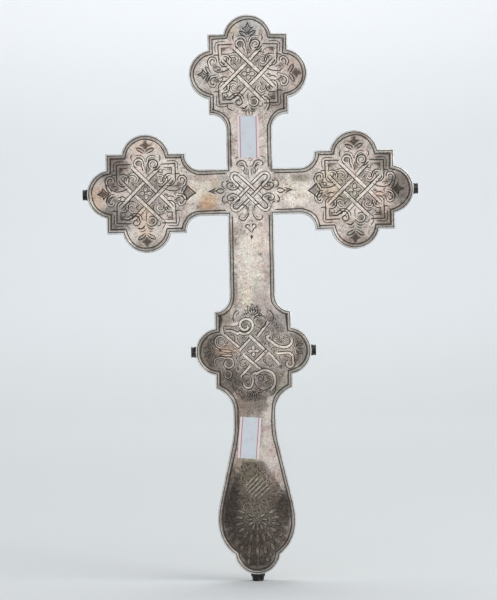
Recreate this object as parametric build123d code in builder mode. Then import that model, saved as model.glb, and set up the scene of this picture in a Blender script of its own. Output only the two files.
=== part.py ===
"""Hand cross of sheet silver on a wooden core, with quatrefoil ends, a cartouche and a flared grip.

Millimetres. +Z is up along the stem, the engraved back faces -Y and the front faces +Y.
The origin is the middle of the bounding box, at the lowest point of the stud under the grip.
"""

import os
from math import cos, radians, sin, sqrt

from build123d import *

# Heights on the long axis, from the foot of the bottom stud.
crossing_z = 240.7
upper_end_z = crossing_z + 72.8
cartouche_z = crossing_z - 97.6
grip_lobe_z = crossing_z - 222.1
arm_end_x = 64.4

# Quatrefoil ends of the three arms: a square with a round lobe on each free side.
arm_half_width = 14.2
end_half_square = 24.6
end_lobe_offset = 21.3
end_lobe_radius = 15.2
end_cove_radius = 9.2

# Cartouche on the stem, above the grip.
cartouche_half_width = 23.7
cartouche_half_height = 23.8
cartouche_lobe_offset = 21.0
cartouche_lobe_drop = 1.0
cartouche_lobe_radius = 14.8
cartouche_cove_radius = 9.4

# Neck and grip. The cove under the cartouche runs from its lower corner into the neck.
neck_half_width = 13.2
neck_top_z = crossing_z - 135.7
cove_overhang = cartouche_half_width - neck_half_width
cove_rise = cartouche_z - cartouche_half_height - neck_top_z
neck_cove_radius = (cove_overhang**2 + cove_rise**2) / (2 * cove_overhang)
flare_start_z = crossing_z - 143.0
flare_angle = 13.1
flare_radius = 60.0
grip_half_width = 24.1
grip_widest_z = crossing_z - 203.6
grip_side_radius = 52.3
grip_heel_radius = 26.1
heel_end_drop = 3.0
grip_lobe_radius = 14.2

# Depths. Levels are heights over the middle plane, counted towards the engraved back.
total_depth = 12.0
back_rim_level = total_depth / 2
body_depth = 10.0
front_rim_level = back_rim_level - body_depth
rim_lip = 0.6
sheet_thickness = 0.8
band_thickness = 0.8
bead_width = 1.2
bead_height = 0.5
back_plate_level = back_rim_level - rim_lip
core_back_level = back_plate_level - sheet_thickness
front_plate_level = front_rim_level + rim_lip
core_front_level = front_plate_level + sheet_thickness

# Studs on the edge: a claw collet with a cabochon, held by a pin through the band.
# The shares are of a stud's own radius or height.
stud_radius = 3.4
stud_height = 2.8
bottom_stud_radius = 4.35
bottom_stud_height = grip_lobe_z - grip_lobe_radius
foot_depth = 1.0
foot_share = 0.16
floor_share = 0.3
collet_rim_share = 0.68
waist_share = 0.84
pocket_share = 0.74
claw_share = 0.9
claw_width_share = 0.44
pin_radius = 0.7
pin_bite = 6.0

# Paper inventory labels, blank.
label_width = 13.0
label_length = 25.5
label_thickness = 0.12
upper_label_place = (-0.6, crossing_z + 33.8, 0)
lower_label_place = (-3.6, crossing_z - 152.0, -5)

# Front relief: a plain applied cross, a boss where it crosses and a roundel in each end.
applied_half_width = 4.5
applied_upper_length = 46.0
applied_arm_length = 38.0
applied_lower_length = 62.0
applied_thickness = 1.5
applied_chamfer = 0.4
boss_radius = 8.5
boss_height = total_depth / 2 + front_plate_level
boss_rounding = 0.8
roundel_radius = 13.0
roundel_sheet = 0.9
roundel_rim = 1.5
roundel_step = 11.5
umbo_radius = 4.5
umbo_height = 2.4
umbo_sphere = (umbo_radius**2 + (umbo_height - roundel_sheet) ** 2) / (2 * (umbo_height - roundel_sheet))

quadrants = {
    "upper": ((0, 0), (400, 400), (-400, 400)),
    "right": ((0, 0), (400, -400), (400, 400)),
    "lower": ((0, 0), (-400, -400), (400, -400)),
    "left": ((0, 0), (-400, 400), (-400, -400)),
}

standing = (Align.CENTER, Align.CENTER, Align.MIN)

os.makedirs("parts", exist_ok=True)


def save(builder, name):
    """Labels a finished piece and writes it."""
    builder.part.label = name
    export_step(builder.part, f"parts/{name}.step")


def coves(centre_x, centre_y, radius, block_half_width, block_end_y):
    """The block that fills both corners beside a stem, hollowed by a cove on each side."""
    with Locations((0, (centre_y + block_end_y) / 2)):
        Rectangle(2 * block_half_width, abs(block_end_y - centre_y))
    with Locations((centre_x, centre_y), (-centre_x, centre_y)):
        Circle(radius, mode=Mode.SUBTRACT)


def end_outline(reach, turn, inset):
    """One arm from the crossing to its quatrefoil end, drawn in by the inset."""
    half_square = end_half_square - inset
    cove_x = arm_half_width + end_cove_radius
    cove_y = reach - end_half_square - end_cove_radius
    lobes = ((0, reach + end_lobe_offset), (end_lobe_offset, reach), (-end_lobe_offset, reach))
    with BuildSketch(mode=Mode.PRIVATE) as arm:
        coves(cove_x, cove_y, end_cove_radius + inset, min(half_square, cove_x), reach)
        with Locations((0, reach / 2)):
            Rectangle(2 * (arm_half_width - inset), reach)
        with Locations((0, reach)):
            Rectangle(2 * half_square, 2 * half_square)
        with Locations(*lobes):
            Circle(end_lobe_radius - inset)
    return arm.sketch.rotate(Axis.Z, turn).moved(Location((0, crossing_z)))


def grip_outline(inset):
    """Neck and flared grip with its bottom lobe, drawn in by the inset."""
    tilt = radians(flare_angle)
    neck_x = neck_half_width - inset
    hollow = flare_radius + inset
    flare_end = (neck_x + hollow * (1 - cos(tilt)), flare_start_z - hollow * sin(tilt))
    widest_x = grip_half_width - inset
    swell = grip_side_radius - inset
    swell_start = (widest_x - swell * (1 - cos(tilt)), grip_widest_z + swell * sin(tilt))
    heel = grip_heel_radius - inset
    heel_end_z = grip_lobe_z - heel_end_drop
    heel_end_x = grip_half_width - grip_heel_radius + sqrt(heel**2 - (grip_widest_z - heel_end_z) ** 2)
    with BuildSketch(mode=Mode.PRIVATE) as grip:
        with BuildLine():
            Line((0, neck_top_z), (neck_x, neck_top_z))
            Line((neck_x, neck_top_z), (neck_x, flare_start_z))
            RadiusArc((neck_x, flare_start_z), flare_end, -hollow)
            Line(flare_end, swell_start)
            RadiusArc(swell_start, (widest_x, grip_widest_z), swell)
            RadiusArc((widest_x, grip_widest_z), (heel_end_x, heel_end_z), heel)
            Line((heel_end_x, heel_end_z), (0, heel_end_z))
            Line((0, heel_end_z), (0, neck_top_z))
        make_face()
        mirror(about=Plane.YZ)
        with Locations((0, grip_lobe_z)):
            Circle(grip_lobe_radius - inset)
    return grip.sketch


def cartouche_outline(inset):
    """Stem from the crossing down and cartouche with its lobes, drawn in by the inset."""
    half_width = cartouche_half_width - inset
    cove_x = arm_half_width + cartouche_cove_radius
    cove_z = cartouche_z + cartouche_half_height + cartouche_cove_radius
    neck_cove_x = neck_half_width + neck_cove_radius
    lobe_z = cartouche_z - cartouche_lobe_drop
    with BuildSketch(mode=Mode.PRIVATE) as cartouche:
        coves(neck_cove_x, neck_top_z, neck_cove_radius + inset, half_width, cartouche_z)
        coves(cove_x, cove_z, cartouche_cove_radius + inset, min(half_width, cove_x), cartouche_z)
        with Locations((0, (crossing_z + cartouche_z) / 2)):
            Rectangle(2 * (arm_half_width - inset), crossing_z - cartouche_z)
        with Locations((0, cartouche_z)):
            Rectangle(2 * half_width, 2 * (cartouche_half_height - inset))
        with Locations((cartouche_lobe_offset, lobe_z), (-cartouche_lobe_offset, lobe_z)):
            Circle(cartouche_lobe_radius - inset)
    return cartouche.sketch


def body_outline(inset):
    """The whole silhouette in the X and Z of the upright object, drawn in by the inset."""
    with BuildSketch(mode=Mode.PRIVATE) as body:
        add(end_outline(upper_end_z - crossing_z, 0, inset))
        add(end_outline(arm_end_x, 90, inset))
        add(end_outline(arm_end_x, -90, inset))
        add(cartouche_outline(inset))
        add(grip_outline(inset))
    return body.sketch


def quarter_ring(outer_inset, inner_inset, quadrant):
    """A strip along the silhouette, cut at 45 degrees in the inner corners of the crossing."""
    with BuildSketch(mode=Mode.PRIVATE) as ring:
        add(body_outline(outer_inset))
        add(body_outline(inner_inset), mode=Mode.SUBTRACT)
        with Locations((0, crossing_z)):
            Polygon(*quadrants[quadrant], align=None, mode=Mode.INTERSECT)
    return ring.sketch


def stud_seats():
    """Seat of each stud: name, plane with its Z pointing out of the edge, radius and height."""
    arm_tip = arm_end_x + end_lobe_offset + end_lobe_radius
    cartouche_tip = cartouche_lobe_offset + cartouche_lobe_radius
    lobe_z = cartouche_z - cartouche_lobe_drop
    middle_y = -(front_rim_level + back_rim_level) / 2
    foot = (0, middle_y, grip_lobe_z - grip_lobe_radius)
    sideways = {
        "left_arm": (-arm_tip, crossing_z, -1),
        "right_arm": (arm_tip, crossing_z, 1),
        "left_cartouche": (-cartouche_tip, lobe_z, -1),
        "right_cartouche": (cartouche_tip, lobe_z, 1),
    }
    seats = []
    for name, (x, z, side) in sideways.items():
        seat = Plane((x, middle_y, z), x_dir=(0, 1, 0), z_dir=(side, 0, 0))
        seats.append((name, seat, stud_radius, stud_height))
    seats.append(("bottom", Plane(foot, x_dir=(1, 0, 0), z_dir=(0, 0, -1)), bottom_stud_radius, bottom_stud_height))
    return seats


seats = stud_seats()

# Pins that hold the studs, through collet and band into the wood.
with BuildPart() as stud_pins:
    for name, seat, radius, height in seats:
        with Locations(seat.offset(-pin_bite).location):
            Cylinder(pin_radius, pin_bite + floor_share * height, align=standing)
save(stud_pins, "stud_pins")

# Wooden core, sawn to the silhouette less the thickness of the band.
with BuildPart() as wood_core:
    with BuildSketch(Plane.XZ.offset(core_front_level)):
        add(body_outline(band_thickness))
    extrude(amount=core_back_level - core_front_level)
    add(stud_pins.part, mode=Mode.SUBTRACT)
save(wood_core, "wood_core")

# Silver sheets on both faces, let in between the band.
with BuildPart() as back_plate:
    with BuildSketch(Plane.XZ.offset(core_back_level)):
        add(body_outline(band_thickness))
    extrude(amount=sheet_thickness)
save(back_plate, "back_plate")

with BuildPart() as front_plate:
    with BuildSketch(Plane.XZ.offset(front_plate_level)):
        add(body_outline(band_thickness))
    extrude(amount=sheet_thickness)
save(front_plate, "front_plate")

# The band round the edge, in four strips that meet in the crossing's inner corners.
for quadrant in quadrants:
    with BuildPart() as rim_band:
        with BuildSketch(Plane.XZ.offset(front_rim_level)):
            add(quarter_ring(0, band_thickness, quadrant))
        extrude(amount=body_depth)
        add(stud_pins.part, mode=Mode.SUBTRACT)
    save(rim_band, f"{quadrant}_rim_band")

# Bead wires soldered into the angle between sheet and band, on both faces.
for quadrant in quadrants:
    with BuildPart() as back_bead:
        with BuildSketch(Plane.XZ.offset(back_plate_level)):
            add(quarter_ring(band_thickness, band_thickness + bead_width, quadrant))
        extrude(amount=bead_height)
    save(back_bead, f"{quadrant}_back_bead")
    with BuildPart() as front_bead:
        with BuildSketch(Plane.XZ.offset(front_plate_level)):
            add(quarter_ring(band_thickness, band_thickness + bead_width, quadrant))
        extrude(amount=-bead_height)
    save(front_bead, f"{quadrant}_front_bead")

# The solid that the silhouette fills, for cutting the saddle under each collet.
with BuildPart() as edge_block:
    with BuildSketch(Plane.XZ.offset(front_rim_level)):
        add(body_outline(0))
    extrude(amount=body_depth)

# Studs: a waisted collet with four claws, and the cabochon that they hold.
for name, seat, radius, height in seats:
    foot = foot_share * height
    floor = floor_share * height
    rim = collet_rim_share * height
    waist = (waist_share * radius, (foot + rim) / 2)
    pocket = pocket_share * radius
    dome_sphere = (pocket**2 + (height - rim) ** 2) / (2 * (height - rim))
    section = Plane(seat.origin, x_dir=seat.x_dir, z_dir=-seat.y_dir)
    with BuildPart() as collet:
        with BuildSketch(section):
            with BuildLine():
                Polyline((0, -foot_depth), (radius, -foot_depth), (radius, foot), waist)
                Polyline(waist, (radius, rim), (pocket, rim), (pocket, floor), (0, floor), (0, -foot_depth))
            make_face()
        revolve(axis=Axis(seat.origin, seat.z_dir))
        with Locations(seat.offset(floor).location):
            with PolarLocations((pocket + radius) / 2, 4, start_angle=45):
                Box(claw_share * (radius - pocket), claw_width_share * radius, height - floor, align=standing)
        add(edge_block.part, mode=Mode.SUBTRACT)
        add(stud_pins.part, mode=Mode.SUBTRACT)
    save(collet, f"{name}_collet")
    with BuildPart() as cabochon:
        with BuildSketch(section):
            with BuildLine():
                Polyline((0, floor), (pocket, floor), (pocket, rim))
                RadiusArc((pocket, rim), (0, height), -dome_sphere)
                Line((0, height), (0, floor))
            make_face()
        revolve(axis=Axis(seat.origin, seat.z_dir))
    save(cabochon, f"{name}_cabochon")

# Paper labels on the engraved sheet.
for name, (x, z, tilt) in {"upper": upper_label_place, "lower": lower_label_place}.items():
    with BuildPart() as label:
        with BuildSketch(Plane.XZ.offset(back_plate_level)):
            with Locations(Location((x, z), tilt)):
                Rectangle(label_width, label_length)
        extrude(amount=label_thickness)
    save(label, f"{name}_label")

# Applied cross on the front sheet, with a boss saddled over its crossing.
with BuildPart() as applied_cross:
    with BuildSketch(Plane.XZ.offset(front_plate_level)):
        with Locations((0, crossing_z + (applied_upper_length - applied_lower_length) / 2)):
            Rectangle(2 * applied_half_width, applied_upper_length + applied_lower_length)
        with Locations((0, crossing_z)):
            Rectangle(2 * applied_arm_length, 2 * applied_half_width)
    extrude(amount=-applied_thickness)
    chamfer(applied_cross.faces().sort_by(Axis.Y)[-1].edges(), applied_chamfer)
save(applied_cross, "applied_cross")

with BuildPart() as crossing_boss:
    with BuildSketch(Plane.XZ.offset(front_plate_level)):
        with Locations((0, crossing_z)):
            Circle(boss_radius)
    extrude(amount=-boss_height)
    fillet(crossing_boss.faces().sort_by(Axis.Y)[-1].edges(), boss_rounding)
    add(applied_cross.part, mode=Mode.SUBTRACT)
save(crossing_boss, "crossing_boss")

# Embossed roundels in the three ends and in the cartouche.
roundel_places = {
    "upper": (0, upper_end_z),
    "left": (-arm_end_x, crossing_z),
    "right": (arm_end_x, crossing_z),
    "lower": (0, cartouche_z),
}
for name, (x, z) in roundel_places.items():
    centre = (x, -front_plate_level, z)
    with BuildPart() as roundel:
        with BuildSketch(Plane(centre, x_dir=(1, 0, 0), z_dir=(0, 0, 1))):
            with BuildLine():
                Polyline((0, 0), (roundel_radius, 0), (roundel_radius, roundel_rim), (roundel_step, roundel_rim))
                Polyline((roundel_step, roundel_rim), (roundel_step, roundel_sheet), (umbo_radius, roundel_sheet))
                RadiusArc((umbo_radius, roundel_sheet), (0, umbo_height), -umbo_sphere)
                Line((0, umbo_height), (0, 0))
            make_face()
        revolve(axis=Axis(centre, (0, 1, 0)))
    save(roundel, f"{name}_roundel")
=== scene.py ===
import math
import random

import bmesh
import bpy
import numpy as np
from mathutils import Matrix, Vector
from mathutils.geometry import delaunay_2d_cdt

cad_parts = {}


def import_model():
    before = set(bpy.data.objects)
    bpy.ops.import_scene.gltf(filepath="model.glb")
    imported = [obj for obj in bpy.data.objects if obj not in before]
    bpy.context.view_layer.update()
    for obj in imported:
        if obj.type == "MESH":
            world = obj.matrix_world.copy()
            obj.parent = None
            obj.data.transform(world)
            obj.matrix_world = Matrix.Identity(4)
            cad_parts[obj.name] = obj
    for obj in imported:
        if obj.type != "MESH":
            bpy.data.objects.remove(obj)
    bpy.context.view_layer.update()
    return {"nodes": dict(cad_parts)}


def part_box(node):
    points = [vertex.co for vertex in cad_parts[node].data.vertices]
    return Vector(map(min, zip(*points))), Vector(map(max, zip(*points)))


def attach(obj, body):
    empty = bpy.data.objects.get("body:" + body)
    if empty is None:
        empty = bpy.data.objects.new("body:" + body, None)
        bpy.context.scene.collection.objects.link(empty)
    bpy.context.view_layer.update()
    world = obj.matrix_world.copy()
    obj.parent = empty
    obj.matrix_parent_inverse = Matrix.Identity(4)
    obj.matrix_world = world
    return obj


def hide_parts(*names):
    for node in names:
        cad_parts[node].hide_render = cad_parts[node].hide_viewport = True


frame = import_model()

MM = 0.001
ROOT2 = math.sqrt(2)
QUARTER_TURNS = range(0, 360, 90)
NO_LIMIT = 1e4

# Widths of the engraver's strokes, and the depth of a stroke for each millimetre from its edge.
BOLD, LINE, FINE, HATCH = 1.15, 0.9, 0.66, 0.38
WALL_SLOPE = 0.62
STROKE_STEP = 0.7
FULL_DIRT_DEPTH = 0.3

# Grounds: how far they are sunk, how far apart their hatches are, and the tones they come in.
GROUND_DEPTH = 0.1
HATCH_SPACING = 0.85
HATCHED, DARK = 0.55, 1.0

# The plain parts of an engraved face have a vertex every GRID. Its waves die out EDGE_CALM from the edge.
GRID = 2.0
EDGE_CALM = 2.0

# The rim band stands outside the sheet, and the bead wire lies on the sheet just inside it.
BAND_THICKNESS = 0.8
BEAD_WIDTH = 1.2

# The front's reliefs, and the paper labels.
ROUNDEL_RADIUS, BOSS_RADIUS = 13.0, 8.5
RINGS_PER_MM = 3.2
LABEL_LENGTH, LABEL_WIDTH = 25.5, 13

# Engraving stays inside a sheet's edge, with a border line between that stops short of the crossing.
ENGRAVED_INSET = 2.8
BORDER_INSET, BORDER_WIDTH = 2.0, 1.0
CROSSING_REACH = 14.8


# Places read from the frame.

def centre_of(node):
    """(x, z) of the middle of a node's box, in millimetres."""
    low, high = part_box(node)
    return np.array([low[0] + high[0], low[2] + high[2]]) / 2 / MM


def levels_of(node):
    """A node's lowest and highest y, in millimetres."""
    low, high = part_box(node)
    return low[1] / MM, high[1] / MM


CROSSING = centre_of("crossing_boss")
SIDES = ("upper", "left", "right", "lower")
UPPER, LEFT, RIGHT, LOWER = [centre_of(side + "_roundel") for side in SIDES]
GRIP = CROSSING + (0, -196)


def face_outline(node, side):
    """The outline of a flat node's back (-1) or front (1) face, anticlockwise: (x, z) in millimetres."""
    mesh = frame["nodes"][node].data
    level = levels_of(node)[0 if side < 0 else 1]
    faces = []
    for polygon in mesh.polygons:
        corners = [mesh.vertices[i].co / MM for i in polygon.vertices]
        if all(abs(corner.y - level) < 0.001 for corner in corners):
            faces.append([(round(corner.x, 3), round(corner.z, 3)) for corner in corners])
    loop = np.array(rim_of(faces))
    return loop if area(loop) > 0 else loop[::-1]


def rim_of(faces):
    """The boundary of a mesh's faces, as its points in order."""
    edges = {(a, b) for face in faces for a, b in zip(face, (*face[1:], face[0]))}
    following = {a: b for a, b in edges if (b, a) not in edges}
    rim = [min(following)]
    while following[rim[-1]] != rim[0]:
        rim.append(following[rim[-1]])
    return rim


def area(loop):
    """A loop's area, positive when it runs anticlockwise."""
    x, z = loop.T
    return (x @ np.roll(z, -1) - z @ np.roll(x, -1)) / 2


def mitres(loop):
    """The step at each point of an anticlockwise loop that moves both its sides inward by 1."""
    along = np.roll(loop, -1, 0) - loop
    along /= np.linalg.norm(along, axis=1)[:, None]
    after = np.stack([-along[:, 1], along[:, 0]], 1)
    before = np.roll(after, 1, 0)
    return (before + after) / (1 + (before * after).sum(1))[:, None]


# Curves for the engraver.

def smooth(*points):
    """A curve through given points."""
    points = np.array(points, float)
    padded = np.vstack([2 * points[0] - points[1], points, 2 * points[-1] - points[-2]])
    curve = []
    for p, q, r, s in zip(padded, padded[1:], padded[2:], padded[3:]):
        count = max(2, round(np.linalg.norm(r - q) / STROKE_STEP))
        for t in np.arange(count) / count:
            curve.append(((2 * q) + (r - p) * t + (2 * p - 5 * q + 4 * r - s) * t**2
                          + (3 * q - p - 3 * r + s) * t**3) / 2)
    return np.array(curve + [points[-1]])


def spiral(centre, start_radius, end_radius, start, end):
    """A spiral between two angles in degrees. With equal radii it is an arc."""
    mean = (start_radius + end_radius) / 2
    count = max(6, round(abs(math.radians(end - start)) * mean / STROKE_STEP))
    angles = np.radians(np.linspace(start, end, count + 1))
    radii = np.linspace(start_radius, end_radius, count + 1)
    return np.array(centre) + np.stack([radii * np.cos(angles), radii * np.sin(angles)], 1)


def petal(base, tip, bulge):
    """A pointed leaf's closed outline, widest a little before its middle."""
    base, tip = np.array(base, float), np.array(tip, float)
    along = tip - base
    across = np.array([-along[1], along[0]]) / np.linalg.norm(along)
    count = max(4, round(np.linalg.norm(along) / STROKE_STEP))
    share = np.linspace(0, 1, count + 1)
    wide = bulge * np.sin(math.pi * share**0.85)
    left = base + share[:, None] * along + wide[:, None] * across
    right = base + share[:, None] * along - wide[:, None] * across
    return np.vstack([left, right[-2::-1]])


def turned(points, angle):
    """Points turned about the origin by an angle in degrees, anticlockwise."""
    c, s = math.cos(math.radians(angle)), math.sin(math.radians(angle))
    return np.asarray(points, float) @ np.array([[c, s], [-s, c]])


def beside(points, step):
    """An open polyline moved to its left by a step, with mitred corners."""
    along = np.diff(points, axis=0)
    along /= np.linalg.norm(along, axis=1)[:, None]
    normal = np.stack([-along[:, 1], along[:, 0]], 1)
    before, after = np.vstack([normal[:1], normal]), np.vstack([normal, normal[-1:]])
    steps = (before + after) / np.maximum(1 + (before * after).sum(1), 0.3)[:, None]
    return points + steps * np.reshape(step, (-1, 1))


def inside(points, outline):
    """Which points lie inside a closed outline."""
    x, z = points.T
    hit = np.zeros(len(points), bool)
    near = (x > outline[:, 0].min()) & (x < outline[:, 0].max())
    near &= (z > outline[:, 1].min()) & (z < outline[:, 1].max())
    x, z = x[near], z[near]
    found = np.zeros(len(x), bool)
    for (x0, z0), (x1, z1) in zip(outline, np.roll(outline, -1, 0)):
        if z0 != z1:
            found ^= ((z0 > z) != (z1 > z)) & (x < (x1 - x0) * (z - z0) / (z1 - z0) + x0)
    hit[near] = found
    return hit


def bite(points, strokes, reach=0.5):
    """How far each point is inside the nearest stroke's edge.

    A stroke's points are (x, z, half width). Outside every stroke the result is negative, down to -reach.
    """
    order = np.argsort(points[:, 0])
    x, z = points[order].T
    best = np.full(len(points), -float(reach))
    run = 8  # segments measured together
    for stroke in strokes:
        for i in range(0, len(stroke) - 1, run):
            piece = stroke[i:i + run + 1]
            low, high = piece[:, :2].min(0) - reach - 1, piece[:, :2].max(0) + reach + 1
            first, last = np.searchsorted(x, (low[0], high[0]))
            near = first + np.flatnonzero((z[first:last] > low[1]) & (z[first:last] < high[1]))
            if not len(near):
                continue
            along = np.diff(piece, axis=0)
            off_x, off_z = x[near, None] - piece[:-1, 0], z[near, None] - piece[:-1, 1]
            square = np.maximum((along[:, :2] ** 2).sum(1), 1e-9)
            share = np.clip((off_x * along[:, 0] + off_z * along[:, 1]) / square, 0, 1)
            gap = np.hypot(off_x - share * along[:, 0], off_z - share * along[:, 1])
            best[near] = np.maximum(best[near], (piece[:-1, 2] + share * along[:, 2] - gap).max(1))
    result = np.empty(len(points))
    result[order] = best
    return result


class Motif:
    """Engraved strokes, hatched grounds, and the plain islands and straps that hatching leaves clear."""

    def __init__(self):
        self.strokes, self.grounds, self.islands, self.straps = [], [], [], []

    def cut(self, points, width=LINE, taper=1.2):
        """One stroke of the burin, which thins towards both ends over a length of taper."""
        shortest, closest, tip = 0.3, 0.04, 0.3
        points = np.asarray(points, float)
        length = np.concatenate([[0], np.cumsum(np.linalg.norm(np.diff(points, axis=0), axis=1))])
        total = length[-1]
        if total < shortest:
            return
        run = min(taper, total / 2)
        stations = np.unique(np.concatenate([length, [run, total - run]]))
        stations = stations[np.concatenate([[True], np.diff(stations) > closest])]
        from_end = np.minimum(1, np.minimum(stations, total - stations) / run)
        half = width / 2 * (tip + (1 - tip) * from_end)
        columns = [np.interp(stations, length, points[:, 0]), np.interp(stations, length, points[:, 1]), half]
        self.strokes.append(np.stack(columns, 1))

    def curve(self, *points, width=LINE):
        """One stroke along a curve through given points."""
        self.cut(smooth(*points), width)

    def pair(self, *points, width=LINE):
        """A curve and its mirror image across the z axis."""
        for side in (1, -1):
            self.cut(smooth(*points) * (side, 1), width)

    def ground(self, outline, angle=45, tone=HATCHED):
        """A sunk area, hatched at an angle in degrees."""
        self.grounds.append((np.asarray(outline, float), angle, tone))

    def island(self, outline, width=FINE):
        """A closed plain shape with a cut outline."""
        outline = np.asarray(outline, float)
        self.islands.append(outline)
        if width:
            self.cut(np.vstack([outline, outline[:1]]), width)

    def strap(self, path, width, lines=(LINE, FINE), hidden=None):
        """A flat strap along a path. Its left and right edge lines are missing where hidden is true."""
        path = np.asarray(path, float)
        left, right = beside(path, width / 2), beside(path, -width / 2)
        self.straps.append(np.vstack([left, right[::-1]]))
        for edge, stroke in zip((left, right), lines):
            for run in shown(edge, hidden):
                self.cut(run, stroke, 0.6)

    def add(self, other, at=(0, 0), turn=0, flip=False, size=1):
        """Another motif, sized, flipped left to right, turned and moved into place."""
        def place(points):
            points = np.asarray(points, float)[:, :2] * (-size if flip else size, size)
            return turned(points, turn) + at
        for stroke in other.strokes:
            self.strokes.append(np.hstack([place(stroke), stroke[:, 2:]]))
        for outline, angle, tone in other.grounds:
            self.grounds.append((place(outline), (-angle if flip else angle) + turn, tone))
        self.islands += [place(outline) for outline in other.islands]
        self.straps += [place(outline) for outline in other.straps]

    def add_both(self, half):
        """A motif and its mirror image across the z axis."""
        self.add(half)
        self.add(half, flip=True)

    def hatch(self, limit):
        """Cuts parallel fine strokes into every ground, clear of what is drawn and inside a limit."""
        sample, clearance = 0.2, 0.12
        outlines = list(self.strokes)
        for outline, angle, tone in self.grounds:
            spacing = HATCH_SPACING * (0.75 if tone == DARK else 1)
            level = turned(outline, -angle)
            low, high = level.min(0), level.max(0)
            columns = np.arange(low[0], high[0], sample)
            rows = np.arange(low[1] + spacing / 2, high[1], spacing)
            if not len(columns) or not len(rows):
                continue
            lines = turned(np.stack(np.meshgrid(columns, rows), -1).reshape(-1, 2), angle)
            clear = inside(lines, outline) & inside(lines, limit)
            clear &= bite(lines, touching(outlines, lines)) < -clearance
            for island in touching(self.islands + self.straps, lines):
                clear &= ~inside(lines, island)
            lines, clear = lines.reshape(len(rows), -1, 2), clear.reshape(len(rows), -1)
            for line, marks in zip(lines, clear):
                edges = np.flatnonzero(np.diff(np.concatenate([[0], marks, [0]])))
                for first, last in zip(edges[::2], edges[1::2] - 1):
                    if (last - first) * sample > 0.7:
                        self.cut([line[first], line[last]], HATCH, 0.4)


def touching(shapes, points):
    """The shapes whose boxes come near the points' box."""
    low, high = points.min(0) - 1, points.max(0) + 1
    return [shape for shape in shapes
            if (shape[:, :2].max(0) > low).all() and (shape[:, :2].min(0) < high).all()]


def shown(points, hidden):
    """The stretches of a polyline where hidden is false."""
    if hidden is None:
        return [points]
    length = np.concatenate([[0], np.cumsum(np.linalg.norm(np.diff(points, axis=0), axis=1))])
    stations = np.linspace(0, length[-1], max(4, round(length[-1] / 0.15)))
    samples = np.stack([np.interp(stations, length, points[:, i]) for i in (0, 1)], 1)
    clear = ~hidden(samples)
    edges = np.flatnonzero(np.diff(np.concatenate([[0], clear, [0]])))
    runs = []
    for first, last in zip(edges[::2], edges[1::2] - 1):
        kept = (length > stations[first] + 0.05) & (length < stations[last] - 0.05)
        if last > first:
            runs.append(np.vstack([samples[first], points[kept], samples[last]]))
    return runs


# The ornament.

def square_knot():
    """Four straps woven into a square, and the thin lines that carry them round its four corners."""
    crossing, corner, width = 7.8, 17.4, 2.3
    knot, quarter = Motif(), Motif()
    gap = crossing / ROOT2
    end = crossing - corner
    foot = crossing / 2

    def under(points):
        s, t = points.sum(1) / ROOT2, (points[:, 1] - points[:, 0]) / ROOT2
        return (s < 0) & (abs(t - gap) < width / 2)

    quarter.strap([(foot, foot), (end + 1, corner - 1)], width, hidden=under)
    quarter.strap([(-corner + 1, -end - 1), (-foot, -foot)], width, hidden=under)
    for out, reach, line in ((0.8, 0.4, LINE), (-1.4, -1.4, FINE)):
        far = corner + out
        quarter.cut([(end + reach, far), (-far, far), (-far, -end - reach)], line, 0.6)
    for turn in QUARTER_TURNS:
        knot.add(quarter, turn=turn)
    return knot


def centre_flower():
    """Four petals on a hatched diamond."""
    size = 5.6
    flower = Motif()
    for turn in QUARTER_TURNS:
        flower.island(turned(petal((0, 0.7), (0, size - 1.3), 1.35), turn))
        flower.cut(turned([(0, 1.6), (0, size - 2.4)], turn), HATCH, 0.4)
    flower.ground([(size, 0), (0, size), (-size, 0), (0, -size)], angle=0, tone=0.6)
    flower.island(spiral((0, 0), 0.8, 0.8, 0, 330))
    return flower


def fleur(size=1.0, tone=DARK):
    """Two curved petals and a hatched spear between them. Its foot is at the origin."""
    flower, half = Motif(), Motif()
    half.curve((0.2, 0.2), (1.6, 1.8), (3.4, 2.8), (5.6, 3.0), width=BOLD)
    half.curve((0.8, -0.6), (2.6, 0.3), (4.4, 1.3), (5.6, 3.0))
    half.curve((1.6, 0.6), (3.0, 1.5), (4.4, 2.2), width=HATCH)
    flower.add_both(half)
    spear = [(0, 1.4), (1.5, 3.4), (3.2, 4.9), (1.3, 5.4), (0, 8.2), (-1.3, 5.4), (-3.2, 4.9), (-1.5, 3.4)]
    for angle in (90, 0) if tone == DARK else (90,):
        flower.ground(spear, angle, tone)
    flower.cut(spear + spear[:1], LINE, 0.3)
    sized = Motif()
    sized.add(flower, size=size)
    return sized


def spear_leaf():
    """A hatched diamond with its foot at the origin, between two curved petals."""
    leaf = Motif()
    diamond = [(0, 0.4), (2.2, 2.0), (4.2, 2.8), (2.2, 4.8), (0, 7.8), (-2.2, 4.8), (-4.2, 2.8), (-2.2, 2.0)]
    leaf.ground(diamond, angle=0, tone=0.7)
    leaf.cut(diamond + diamond[:1], BOLD, 0.5)
    leaf.pair((0.4, -0.6), (2.2, -0.2), (3.8, 0.8), (4.8, 2.4))
    return leaf


def palmette(lobes, length, spread):
    """A fan of leaves with its foot at the origin, pointing up."""
    fan = Motif()
    for i in range(lobes):
        angle = spread * (0.5 - i / (lobes - 1))
        reach = length * (1 - 0.3 * abs(angle) / (spread / 2))
        fan.island(turned(petal((0, 0.8), (0, reach), 0.16 * length), angle))
        fan.cut(turned([(0, reach * 0.35), (0, reach * 0.8)], angle), FINE, 0.5)
    return fan


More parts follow.
